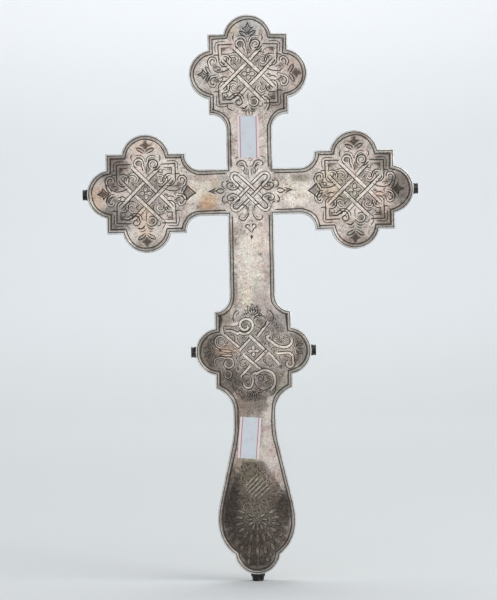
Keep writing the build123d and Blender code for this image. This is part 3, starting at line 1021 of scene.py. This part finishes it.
def hump(r, middle, half):
    """A round ridge's height between 0 and 1."""
    return np.sqrt(np.clip(1 - ((r - middle) / half) ** 2, 0, 1))


def petals(r, angles, count, inner, outer):
    """Rounded petals between two radii, as a height between 0 and 1."""
    across = abs((angles * count / (2 * math.pi)) % 1 - 0.5) * 2
    length = np.clip((r - inner) / (outer - inner), 0, 1)
    tip = np.sin(math.pi * length**0.7)
    return np.clip(tip**0.6 * (1 - across**2) - 0.12 * (across < 0.14), 0, 1)


def roundel_height(r, angles):
    """A sun in a ring of beads and a raised rim."""
    beads, bead_ring, bead_radius = 44, 10.4, 0.7
    share = abs((angles * beads / (2 * math.pi)) % 1 - 0.5) * 2
    from_bead = share * math.pi * bead_ring / beads
    bead = np.sqrt(np.clip(1 - ((r - bead_ring) ** 2 + from_bead**2) / bead_radius**2, 0, 1))
    return np.maximum.reduce([
        0.1 + 0 * r, 0.9 * hump(r, 12.2, 0.78), 0.42 * bead + 0.1, hump(r, 0, 2.9),
        0.62 * petals(r, angles, 12, 2.8, 9.6), 0.34 * petals(r, angles + math.pi / 12, 12, 5.0, 10.0)])


def boss_height(r, angles):
    """A smaller sun in a ring."""
    return np.maximum.reduce([
        0.12 + 0 * r, 0.5 * hump(r, 7.8, 0.68), hump(r, 0, 2.7),
        0.66 * petals(r, angles, 8, 2.0, 7.0), 0.4 * petals(r, angles + math.pi / 8, 8, 3.4, 7.2)])


def stud_frame(seat):
    """A stud's axis, its two cross directions and the corners of its box. Studs point away from the body."""
    low, high = [np.array(corner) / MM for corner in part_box(seat)]
    outward = np.array((np.sign(low[0] + high[0]), 0.0, 0.0))
    downward = seat.startswith("bottom")
    axis = np.array((0.0, 0.0, -1.0)) if downward else outward
    across = np.array((1.0, 0.0, 0.0)) if downward else np.array((0.0, 0.0, 1.0))
    return axis, across, np.cross(axis, across), low, high


def stud_piece(name, section, material, scallop=0.0):
    """A round piece of a stud. The section's points are (radius, height), in shares of its size."""
    axis, across, other, low, high = stud_frame(name)
    length = abs(axis @ (high - low))
    radius = min(abs(across @ (high - low)), abs(other @ (high - low))) / 2
    foot = (low + high) / 2 - axis * length / 2

    def place(ring, angles):
        share, height = ring
        scalloped = scallop * min(max((height - 0.35) / 0.3, 0), 1)
        r = radius * share * (1 - scalloped * (0.5 - 0.5 * np.cos(8 * angles)))
        return (foot + axis * length * height + np.outer(r * np.cos(angles), across)
                + np.outer(r * np.sin(angles), other))

    points, faces = polar_solid(section, 64, place)
    new_piece(name, points, faces, material, 40)


# Sections of the studs: a waisted collet, a slimmer one under the grip, and a domed stone.
COLLET = [(0, 0), (0.92, 0), (1.0, 0.08), (1.0, 0.34), (0.94, 0.46), (0.9, 0.6), (0.93, 0.76), (0.98, 0.88),
          (0.93, 1.0), (0.82, 0.98), (0.72, 0.84), (0.68, 0.62), (0, 0.6)]
FOOT_COLLET = [(0, 0), (0.9, 0), (1.0, 0.1), (1.0, 0.36), (0.9, 0.48), (0.82, 0.6), (0.84, 0.74), (0.78, 0.9),
               (0.7, 1.0), (0.6, 0.96), (0.56, 0.7), (0, 0.6)]
QUADRANT = [math.radians(angle) for angle in range(0, 90, 10)]
DOME = [(0, 0), (1.0, 0.0), *((math.cos(a), 0.12 + 0.88 * math.sin(a)) for a in QUADRANT), (0, 1)]


def label(name, tilt, material):
    """A paper label with lifted corners, a slight ripple and torn ends. The tilt is in degrees."""
    x, z = centre_of(name)
    inner, outer = levels_of(name)[::-1]
    columns, rows = 14, 26
    u, v = np.meshgrid(np.linspace(-1, 1, columns), np.linspace(-1, 1, rows))
    u, v = u.ravel(), v.ravel()
    corner_lift, ripple, tear = 0.3, 0.02, 0.12
    lift = corner_lift * np.clip(abs(u) + abs(v) - 1.45, 0, 1) ** 2 * (1 + 0.6 * np.sign(u * v))
    lift += ripple + ripple * np.sin(v * 7 + u) * abs(u)
    ragged = tear * np.sin(u * 9 + v) * (abs(v) > 0.99)
    flat = turned(np.stack([u * LABEL_WIDTH / 2, v * LABEL_LENGTH / 2 + ragged], 1), tilt) + (x, z)
    paper = abs(outer - inner)
    front = np.stack([flat[:, 0], outer - lift, flat[:, 1]], 1)
    back = front + (0, paper * 0.8, 0)
    points, count = np.vstack([front, back]), len(front)
    faces = []
    for i in range(rows - 1):
        for j in range(columns - 1):
            a = i * columns + j
            faces.append((a, a + 1, a + columns + 1, a + columns))
            faces.append((count + a, count + a + columns, count + a + columns + 1, count + a + 1))
    edge = list(range(columns)) + [i * columns + columns - 1 for i in range(1, rows)]
    edge += [(rows - 1) * columns + j for j in range(columns - 2, -1, -1)]
    edge += [i * columns for i in range(rows - 2, 0, -1)]
    for a, b in zip(edge, edge[1:] + edge[:1]):
        faces.append((b, a, count + a, count + b))
    across = np.tile(u * LABEL_WIDTH / 2, 2)
    new_piece(name, points, faces, material, 40, {"across": across})


# Materials.

def srgb(red, green, blue):
    """A display colour, 0 to 255, as the linear colour that a shader takes."""
    linear = [c / 255 / 12.92 if c < 10.3 else ((c / 255 + 0.055) / 1.055) ** 2.4 for c in (red, green, blue)]
    return (*linear, 1.0)


class Graph:
    """A material and short calls that add nodes to it. Each call returns an output socket."""

    def __init__(self, name):
        self.material = bpy.data.materials.new(name)
        self.material.use_nodes = True
        self.nodes, self.links = self.material.node_tree.nodes, self.material.node_tree.links
        self.shader = self.nodes["Principled BSDF"]

    def put(self, kind, inputs, output=0, **settings):
        """A new node, its inputs fed and its settings made."""
        node = self.nodes.new(kind)
        for key, value in settings.items():
            setattr(node, key, value)
        for key, value in inputs.items():
            self.feed(node.inputs[key], value)
        return node.outputs[output]

    def feed(self, socket, value):
        if isinstance(value, bpy.types.NodeSocket):
            self.links.new(value, socket)
        else:
            socket.default_value = value

    def place(self, origin=(0, 0, 0), stretch=(1, 1, 1)):
        """The place on the object in millimetres from an origin, divided by a stretch."""
        here = self.put("ShaderNodeTexCoord", {}, "Object")
        scale = [1 / MM / s for s in stretch]
        offset = [-o / s for o, s in zip(origin, stretch)]
        return self.put("ShaderNodeVectorMath", {0: here, 1: scale, 2: offset}, operation="MULTIPLY_ADD")

    def noise(self, place, scale, detail=5.0, roughness=0.6, distortion=0.0):
        inputs = {"Vector": place, "Scale": scale, "Detail": detail, "Roughness": roughness,
                  "Distortion": distortion}
        return self.put("ShaderNodeTexNoise", inputs, "Fac")

    def math(self, operation, first, second=0.0, third=0.0):
        return self.put("ShaderNodeMath", {0: first, 1: second, 2: third}, operation=operation)

    def step(self, value, low, high, start=0.0, end=1.0):
        """A soft step from start to end as the value goes from low to high."""
        inputs = {"Value": value, "From Min": low, "From Max": high, "To Min": start, "To Max": end}
        return self.put("ShaderNodeMapRange", inputs, interpolation_type="SMOOTHSTEP")

    def mix(self, share, first, second, blend="MIX"):
        node = self.nodes.new("ShaderNodeMix")
        node.data_type, node.blend_type = "RGBA", blend
        self.feed(node.inputs[0], share)
        self.feed(node.inputs[6], first)
        self.feed(node.inputs[7], second)
        return node.outputs[2]

    def mask(self, name):
        return self.put("ShaderNodeAttribute", {}, "Fac", attribute_name=name)

    def finish(self, colour, roughness, height, distance, strength):
        """Feeds the shader its colour and roughness, and a bump of this height. Returns the material."""
        bump = self.put("ShaderNodeBump", {"Height": height, "Distance": distance, "Strength": strength})
        for name, value in (("Base Color", colour), ("Roughness", roughness), ("Normal", bump)):
            self.feed(self.shader.inputs[name], value)
        return self.material


def silver(name, light, dark, patches=(), wear=0.5, roughness=0.34):
    """Worn silver: clouds of tarnish, named patches, fine scratches, dirt in whatever is engraved, and a
    painted highlight on the straps.

    Each patch is (x, z, half width, half height, colour, strength), from the crossing, in millimetres.
    """
    graph = Graph(name)
    origin = (CROSSING[0], 0, CROSSING[1])
    place = graph.place(origin)
    clouds = graph.noise(place, 0.06, 7, 0.65)
    blotches = graph.noise(place, 0.22, 9, 0.74, 0.5)
    mottle = graph.noise(place, 0.62, 6, 0.72)
    grain = graph.noise(place, 2.1, 4, 0.65)
    speckle = graph.noise(place, 1.3, 3, 0.75)
    pinkish = graph.noise(place, 0.13, 5, 0.6)
    greenish = graph.noise(place, 0.1, 5, 0.6, 0.6)
    colour = graph.mix(graph.step(clouds, 0.38, 0.62), light, dark)
    for x, z, wide, high, tone, strength in patches:
        here = graph.place((origin[0] + x, 0, origin[2] + z), (wide, NO_LIMIT, high))
        away = graph.put("ShaderNodeVectorMath", {0: here}, "Value", operation="LENGTH")
        ragged = graph.math("MULTIPLY_ADD", blotches, 2.6, graph.math("SUBTRACT", away, 1.3))
        colour = graph.mix(graph.step(ragged, 1.25, 0.55, 0.0, strength), colour, srgb(*tone))
    cloudy = graph.math("MULTIPLY", graph.step(mottle, 0.5, 0.66, 0.0, wear), graph.step(clouds, 0.34, 0.56))
    ground = graph.math("MULTIPLY", graph.mask("ground"), graph.step(mottle, 0.3, 0.6, 0.7, 1.0))
    groove = graph.step(graph.mask("groove"), 0.1, 0.65)
    for share, tone, blend in (
            (graph.step(pinkish, 0.5, 0.64, 0.0, 0.4), (240, 214, 206), "MULTIPLY"),
            (graph.step(greenish, 0.52, 0.66, 0.0, 0.4), (206, 216, 200), "MULTIPLY"),
            (graph.step(blotches, 0.54, 0.7, 0.0, wear), (156, 146, 138), "MULTIPLY"),
            (graph.step(blotches, 0.46, 0.34, 0.0, wear), (96, 94, 88), "ADD"),
            (cloudy, (150, 140, 132), "MULTIPLY"),
            (graph.step(mottle, 0.47, 0.36, 0.0, wear * 0.6), (84, 80, 74), "ADD"),
            (graph.step(grain, 0.4, 0.6, 0.0, 0.55), (168, 162, 156), "MULTIPLY"),
            (graph.step(speckle, 0.56, 0.68, 0.0, wear), (150, 140, 132), "MULTIPLY"),
            (graph.step(speckle, 0.42, 0.32, 0.0, wear * 0.7), (92, 90, 86), "ADD"),
            # Painted highlight: the straps are lightened as if their raised edges caught the light.
            (graph.math("MULTIPLY", graph.mask("strap"), 0.5), (116, 112, 104), "ADD"),
            (ground, (176, 170, 164), "MULTIPLY"),
            (groove, (60, 54, 50), "MIX")):
        colour = graph.mix(share, colour, srgb(*tone), blend)
    graph.feed(graph.shader.inputs["Metallic"], graph.math("MULTIPLY_ADD", groove, -0.75, 0.96))
    polish = graph.math("MULTIPLY_ADD", blotches, 0.2, roughness - 0.16)
    polish = graph.math("MULTIPLY_ADD", groove, 0.3, graph.math("MULTIPLY_ADD", grain, 0.16, polish))
    scratches = graph.noise(graph.place(origin, (9, 1, 0.35)), 1.0, 3, 0.6)
    crossing_scratches = graph.noise(graph.place(origin, (0.3, 1, 7)), 1.0, 3, 0.6)
    height = graph.math("ADD", scratches, graph.math("MULTIPLY_ADD", mottle, 1.2, crossing_scratches))
    return graph.finish(colour, polish, height, 0.00006, 0.8)


def oxidised_silver():
    """Black sulphide on silver, rubbed brighter where it has been handled."""
    graph = Graph("oxidised_silver")
    place = graph.place()
    blotches = graph.noise(place, 0.7, 6, 0.65)
    grain = graph.noise(place, 3.0, 4, 0.6)
    colour = graph.mix(graph.step(blotches, 0.45, 0.7), srgb(46, 46, 46), srgb(112, 106, 100))
    colour = graph.mix(graph.step(grain, 0.4, 0.65, 0.0, 0.5), colour, srgb(24, 22, 21))
    graph.shader.inputs["Metallic"].default_value = 0.85
    return graph.finish(colour, graph.step(grain, 0.3, 0.7, 0.34, 0.6), grain, 0.00005, 0.6)


def dark_stone():
    """A polished near-black garnet with faint red depth and a few scratches."""
    graph = Graph("dark_stone")
    depth = graph.noise(graph.place(), 0.5, 4, 0.5)
    colour = graph.mix(graph.step(depth, 0.4, 0.7), srgb(14, 8, 9), srgb(52, 14, 18))
    scratches = graph.noise(graph.place(stretch=(4, 0.4, 1)), 1.4, 3, 0.6)
    graph.shader.inputs["Coat Weight"].default_value = 0.6
    return graph.finish(colour, graph.step(scratches, 0.5, 0.7, 0.1, 0.3), scratches, 0.00001, 0.4)


def label_paper():
    """Price-gun paper, blank, with a printed red line beside each long edge and a little grey soiling."""
    graph = Graph("label_paper")
    place = graph.place()
    across = graph.math("ABSOLUTE", graph.mask("across"))
    fibre = graph.noise(place, 2.2, 5, 0.6)
    soil = graph.noise(place, 0.25, 6, 0.6)
    red_line = 5.0
    middle = graph.step(across, red_line + 0.1, red_line - 0.1)
    paper = graph.mix(middle, srgb(234, 222, 222), srgb(210, 216, 224))
    paper = graph.mix(graph.step(soil, 0.48, 0.75, 0.0, 0.4), paper, srgb(196, 188, 176))
    inked = graph.step(graph.math("ABSOLUTE", graph.math("SUBTRACT", across, red_line)), 0.4, 0.2)
    inked = graph.math("MULTIPLY", inked, graph.step(fibre, 0.2, 0.5, 0.6, 1.0))
    colour = graph.mix(inked, paper, srgb(192, 122, 136))
    colour = graph.mix(graph.step(fibre, 0.35, 0.7, 0.0, 0.12), colour, srgb(150, 146, 140))
    return graph.finish(colour, graph.step(fibre, 0.3, 0.7, 0.55, 0.8), fibre, 0.00003, 0.5)


def core_wood():
    """Close-grained pear wood, with its rings stretched along the shaft."""
    graph = Graph("core_wood")
    rings = graph.noise(graph.place(stretch=(1, 1, 14)), 0.5, 5, 0.6, 0.8)
    pores = graph.noise(graph.place(stretch=(0.5, 0.5, 6)), 1.5, 3, 0.6)
    colour = graph.mix(graph.step(rings, 0.35, 0.65), srgb(150, 104, 70), srgb(112, 72, 46))
    colour = graph.mix(graph.step(pores, 0.55, 0.7, 0.0, 0.7), colour, srgb(70, 44, 28))
    return graph.finish(colour, graph.step(pores, 0.3, 0.7, 0.5, 0.75), pores, 0.0001, 0.6)


def backdrop_paper_painted_light():
    """Seamless studio paper with the faintest tooth, and a painted light gradient: greyer on the floor and
    whiter up the wall, as if lit more strongly higher up.
    """
    graph = Graph("backdrop_paper_painted_light")
    here = graph.put("ShaderNodeTexCoord", {}, "Object")
    height = graph.put("ShaderNodeSeparateXYZ", {0: here}, "Z")
    tooth = graph.noise(here, 400.0, 3, 0.6)
    # Painted light: the paper's colour darkens towards the floor and brightens up the wall, standing in for
    # how the lamps light it.
    colour = graph.mix(graph.step(height, -0.1, 0.2), srgb(218, 221, 220), srgb(230, 233, 235))
    colour = graph.mix(graph.step(height, 0.4, 0.8), colour, srgb(250, 252, 254))
    colour = graph.mix(graph.step(tooth, 0.3, 0.7, 0.0, 0.03), colour, srgb(200, 200, 200))
    graph.feed(graph.shader.inputs["Base Color"], colour)
    graph.shader.inputs["Roughness"].default_value = 0.9
    graph.shader.inputs["Specular IOR Level"].default_value = 0.1
    return graph.material


# Tarnish seen on the back, from the crossing outward: (x, z, half width, half height, colour, strength).
BACK_PATCHES = (
    (0, 103, 10, 9, (182, 184, 184), 0.8),
    (30, 72, 9, 14, (190, 174, 166), 0.7),
    (-21, 94, 7, 7, (216, 208, 204), 0.7),
    (-20, 53, 7, 7, (210, 202, 196), 0.7),
    (-12, 64, 6, 6, (240, 232, 222), 0.7),
    (-4, 74, 11, 11, (226, 218, 208), 0.7),
    (19, 57, 8, 9, (150, 140, 134), 0.9),
    (-30, 74, 9, 10, (206, 204, 200), 0.6),
    (-9, 101, 4, 7, (206, 194, 174), 0.7),
    (0, 35, 11, 20, (222, 212, 206), 0.9),
    (0, 2, 15, 16, (232, 226, 220), 0.8),
    (-17, 4, 6, 8, (176, 176, 168), 0.7),
    (-33, 2, 8, 9, (228, 220, 208), 0.9),
    (-27, -9, 7, 3, (150, 118, 100), 0.7),
    (-26, -5, 6, 5, (204, 170, 132), 0.7),
    (-30, 9, 6, 3, (176, 158, 146), 0.7),
    (-22, 5, 3, 5, (204, 178, 146), 0.4),
    (26, -1, 14, 9, (240, 232, 222), 0.95),
    (31, 8, 6, 2.5, (140, 130, 116), 0.7),
    (-50, 14, 10, 7, (240, 232, 222), 0.8),
    (-84, 16, 10, 14, (126, 118, 115), 0.9),
    (-84, -16, 10, 12, (140, 134, 130), 0.9),
    (-94, -1, 5, 8, (206, 182, 162), 0.8),
    (-65, -19, 5, 12, (222, 202, 184), 0.9),
    (-66, -33, 10, 5, (174, 164, 154), 0.7),
    (-65, 31, 12, 6, (236, 222, 208), 0.7),
    (93, 2, 9, 12, (128, 120, 114), 0.95),
    (84, 18, 8, 8, (142, 134, 128), 0.9),
    (83, -18, 8, 8, (132, 120, 108), 0.9),
    (65, 31, 12, 7, (196, 186, 176), 0.7),
    (65, -33, 12, 5, (154, 144, 136), 0.8),
    (48, -16, 8, 8, (214, 198, 186), 0.7),
    (50, 3, 9, 12, (222, 208, 186), 0.7),
    (65, 0, 8, 8, (240, 232, 220), 0.8),
    (82, -5, 7, 9, (228, 208, 196), 0.7),
    (-2, -48, 9, 26, (236, 230, 220), 0.9),
    (5, -30, 6, 12, (236, 220, 208), 0.6),
    (5, -70, 7, 12, (188, 176, 172), 0.8),
    (-4, -66, 4, 8, (240, 234, 216), 0.7),
    (-11, -62, 2.5, 12, (140, 130, 120), 0.7),
    (-31, -99, 11, 16, (128, 120, 110), 0.95),
    (32, -99, 9, 16, (140, 132, 124), 0.9),
    (-17, -117, 13, 9, (120, 112, 104), 0.9),
    (17, -120, 9, 8, (142, 138, 124), 0.7),
    (17, -80, 7, 7, (156, 150, 148), 0.7),
    (-18, -78, 6, 7, (136, 126, 114), 0.8),
    (20, -98, 8, 6, (240, 228, 216), 0.8),
    (0, -98, 9, 9, (222, 214, 208), 0.7),
    (-17, -98, 7, 4, (216, 192, 172), 0.8),
    (0, -130, 9, 8, (136, 128, 120), 0.9),
    (-8, -136, 6, 12, (146, 130, 116), 0.7),
    (-4, -202, 23, 36, (138, 130, 120), 1.0),
    (-6, -174, 12, 14, (178, 167, 151), 0.9),
    (18, -196, 8, 12, (112, 104, 98), 0.9),
    (9, -164, 4, 22, (224, 212, 206), 0.8),
    (-17, -195, 8, 30, (98, 90, 86), 0.9),
    (14, -212, 10, 12, (140, 130, 124), 0.8),
    (-6, -216, 16, 8, (104, 94, 86), 0.7),
    (0, -232, 12, 10, (104, 98, 90), 0.9),
    (0, -192, 10, 15, (174, 166, 154), 0.8),
    (0, -80, 7, 6, (226, 222, 212), 0.7),
)


# The stage.

def backdrop(material):
    """A floor that curves up into a far wall behind the object, in metres."""
    width, near, bend, radius, top = 3.4, -3.0, 2.3, 0.9, 2.6
    section = [(near, 0.0), (bend, 0.0)]
    for angle in range(10, 100, 10):
        turn = math.radians(angle)
        section.append((bend + radius * math.sin(turn), radius * (1 - math.cos(turn))))
    section.append((bend + radius, top))
    points = [(x, y, z) for y, z in section for x in (-width, width)]
    faces = [(2 * i, 2 * i + 1, 2 * i + 3, 2 * i + 2) for i in range(len(section) - 1)]
    mesh = bpy.data.meshes.new("backdrop")
    mesh.from_pydata(points, [], faces)
    mesh.shade_smooth()
    mesh.materials.append(material)
    paper = bpy.data.objects.new("backdrop", mesh)
    bpy.context.scene.collection.objects.link(paper)


def area_light(name, place, size, power, target=(0, 0, 0.19)):
    """A square softbox that faces a target, the middle of the cross unless another is given."""
    light = bpy.data.lights.new(name, "AREA")
    light.shape, light.size, light.energy = "SQUARE", size, power
    lamp = bpy.data.objects.new(name, light)
    lamp.location = place
    lamp.rotation_euler = (Vector(target) - Vector(place)).to_track_quat("-Z", "Y").to_euler()
    bpy.context.scene.collection.objects.link(lamp)


def camera():
    """A level camera in front of the engraved back, rolled a little, so that the cross leans left."""
    distance, view_height, roll = 1.6, 0.3702, 1.17
    aside, height = -0.0025, 0.1738
    lens = bpy.data.cameras.new("camera")
    lens.sensor_width = 36
    lens.lens = lens.sensor_width * distance / view_height
    body = bpy.data.objects.new("camera", lens)
    body.location = (aside, levels_of("upper_rim_band")[0] * MM - distance, height)
    body.rotation_euler = (math.radians(90), math.radians(roll), 0)
    bpy.context.scene.collection.objects.link(body)
    bpy.context.scene.camera = body


def world(colour, strength):
    """An even light from all round."""
    sky = bpy.data.worlds.new("studio")
    sky.use_nodes = True
    sky.node_tree.nodes["Background"].inputs["Color"].default_value = colour
    sky.node_tree.nodes["Background"].inputs["Strength"].default_value = strength
    bpy.context.scene.world = sky


# Assembly.

back_silver = silver("back_silver", srgb(226, 216, 208), srgb(190, 182, 176), BACK_PATCHES, 0.75)
front_silver = silver("front_silver", srgb(206, 200, 190), srgb(170, 160, 148))
relief_silver = silver("relief_silver", srgb(214, 208, 198), srgb(182, 172, 158), wear=0.35, roughness=0.28)
band_silver = silver("band_silver", srgb(240, 240, 238), srgb(214, 212, 208), wear=0.15, roughness=0.4)
wire_silver = silver("wire_silver", srgb(232, 228, 222), srgb(196, 190, 184), wear=0.3)
pin_silver = silver("pin_silver", srgb(190, 184, 176), srgb(150, 142, 134), wear=0.3)
oxidised = oxidised_silver()
stone = dark_stone()
paper = label_paper()
wood = core_wood()

engraved_sheet("back_plate", -1, back_ornament(), back_silver)
engraved_sheet("front_plate", 1, front_ornament(), front_silver)
engraved_sheet("applied_cross", 1, cross_ornament(), relief_silver, bevel=0.6)

sheet_edge = face_outline("back_plate", -1)
for side_name, run in quarters(sheet_edge).items():
    swept_strip(side_name + "_rim_band", sheet_edge, run, band_profile(), band_silver)
    for face_name, side in (("_back_bead", -1), ("_front_bead", 1)):
        node = side_name + face_name
        swept_strip(node, sheet_edge, run, bead_profile(node, side), wire_silver)

for place_name in SIDES:
    rosette(place_name + "_roundel", ROUNDEL_RADIUS, roundel_height, relief_silver)
rosette("crossing_boss", BOSS_RADIUS, boss_height, relief_silver)

for stud in ("left_arm", "right_arm", "left_cartouche", "right_cartouche", "bottom"):
    section = FOOT_COLLET if stud == "bottom" else COLLET
    stud_piece(stud + "_collet", section, oxidised, 0.1)
    stud_piece(stud + "_cabochon", DOME, stone)

label("upper_label", 0, paper)
label("lower_label", -5, paper)

for node_name, finish in (("wood_core", wood), ("stud_pins", pin_silver)):
    node_mesh = frame["nodes"][node_name].data
    node_mesh.materials.clear()
    node_mesh.materials.append(finish)

backdrop(backdrop_paper_painted_light())
area_light("key", (1.5, -1.1, 1.3), 1.5, 20.5)
area_light("front", (0.1, -2.9, 0.5), 2.4, 19)
area_light("top", (0.0, 0.5, 1.8), 0.9, 9)
area_light("wall", (0.0, 1.9, 1.9), 1.2, 14, (0, 3.2, 0.6))
world((0.93, 0.96, 1.0, 1), 0.5)
camera()
bpy.context.scene.view_settings.view_transform = "Standard"
